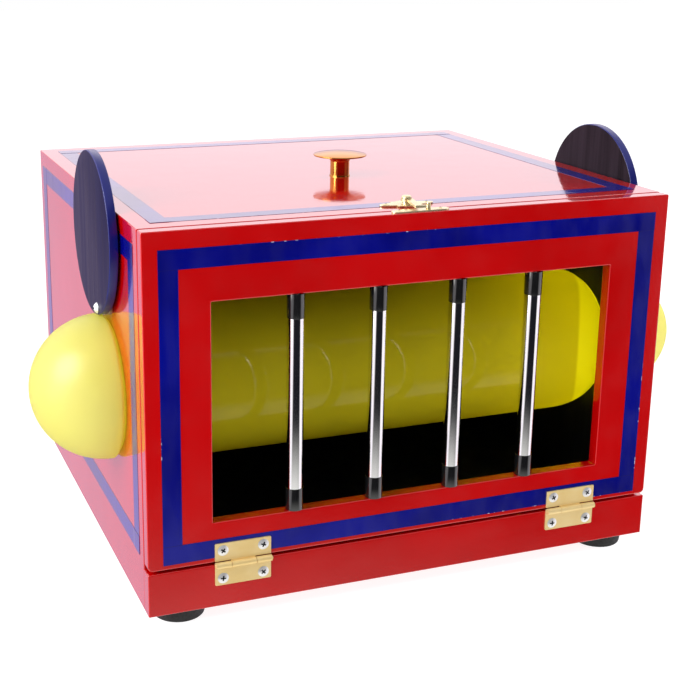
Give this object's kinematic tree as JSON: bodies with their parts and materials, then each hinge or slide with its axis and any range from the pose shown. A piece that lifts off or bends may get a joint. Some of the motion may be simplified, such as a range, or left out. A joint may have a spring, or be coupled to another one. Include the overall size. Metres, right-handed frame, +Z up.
{
  "type": "stage magic balloon cabinet",
  "caption": "Lacquered wooden magic cabinet with a barred drop-down front door, a long balloon through round side holes, swinging round hole covers, a top knob and a swing-hook catch.",
  "frame": {"origin": "centre of the cabinet's footprint, on the underside of the base board; the rubber feet stand 9 mm below it", "axes": "+X to the right of someone facing the door, the door faces -Y, +Z up"},
  "size_m": [0.4927, 0.3293, 0.2949],
  "materials": {
    "red_lacquer": "high-gloss red lacquer outside, black paint inside",
    "blue_tape": "glossy vinyl tape",
    "brass": "polished brass plate",
    "screw_steel": "bright zinc plate",
    "chrome": "mirror chrome",
    "black_plastic": "glossy black sleeve",
    "foot_rubber": "moulded rubber",
    "nylon": "plain nylon washer",
    "cover_paint": "satin black faces with a glossy blue edge",
    "latex": "tight glossy translucent latex"
  },
  "bodies": {
    "case": {"base_board": "red_lacquer", "front_rail": "red_lacquer", "left_side_panel": "red_lacquer", "right_side_panel": "red_lacquer", "back_panel": "red_lacquer", "top_panel": "red_lacquer", "rubber_feet": "foot_rubber", "foot_screws": "screw_steel", "left_hinge_base_leaf": "brass", "right_hinge_base_leaf": "brass", "left_hinge_pin": "brass", "right_hinge_pin": "brass", "hinge_base_screws": "screw_steel", "left_cover_washer": "nylon", "right_cover_washer": "nylon", "left_cover_screw": "screw_steel", "right_cover_screw": "screw_steel", "balloon": "latex", "knob": "brass", "knob_washer": "screw_steel", "knob_screw": "screw_steel", "catch_plate": "brass", "catch_rivet": "brass", "catch_screws": "brass", "left_side_tape": "blue_tape", "right_side_tape": "blue_tape", "back_tape": "blue_tape", "top_tape": "blue_tape"},
    "door": {"door_top_rail": "red_lacquer", "door_bottom_rail": "red_lacquer", "door_left_stile": "red_lacquer", "door_right_stile": "red_lacquer", "bar_1": "chrome", "bar_2": "chrome", "bar_3": "chrome", "bar_4": "chrome", "bar_top_ferrules": "black_plastic", "bar_bottom_ferrules": "black_plastic", "bar_tie_rods": "screw_steel", "left_hinge_door_leaf": "brass", "right_hinge_door_leaf": "brass", "hinge_door_screws": "screw_steel", "keeper_plate": "brass", "keeper_post": "brass", "keeper_screws": "brass", "door_tape": "blue_tape"},
    "left_cover": {"left_cover_disc": "cover_paint"},
    "right_cover": {"right_cover_disc": "cover_paint"},
    "catch": {"catch_hook": "brass"}
  },
  "joints": [
    {"name": "door_hinge", "type": "hinge", "parent": "case", "child": "door", "pos_m": [0, -0.16465, 0.03], "axis": [1, 0, 0], "range_deg": [0, 100]},
    {"name": "catch_swing", "type": "hinge", "parent": "case", "child": "catch", "pos_m": [-0.001, -0.1373, 0.2549], "axis": [0, 0, 1], "range_deg": [-110, 12]},
    {"name": "left_cover_swing", "type": "hinge", "parent": "case", "child": "left_cover", "pos_m": [-0.1897, -0.0723, 0.182], "axis": [-1, 0, 0], "range_deg": [0, 164], "deforming": ["balloon"]},
    {"name": "right_cover_swing", "type": "hinge", "parent": "case", "child": "right_cover", "pos_m": [0.1897, -0.0723, 0.182], "axis": [-1, 0, 0], "range_deg": [0, 171], "deforming": ["balloon"]}
  ]
}
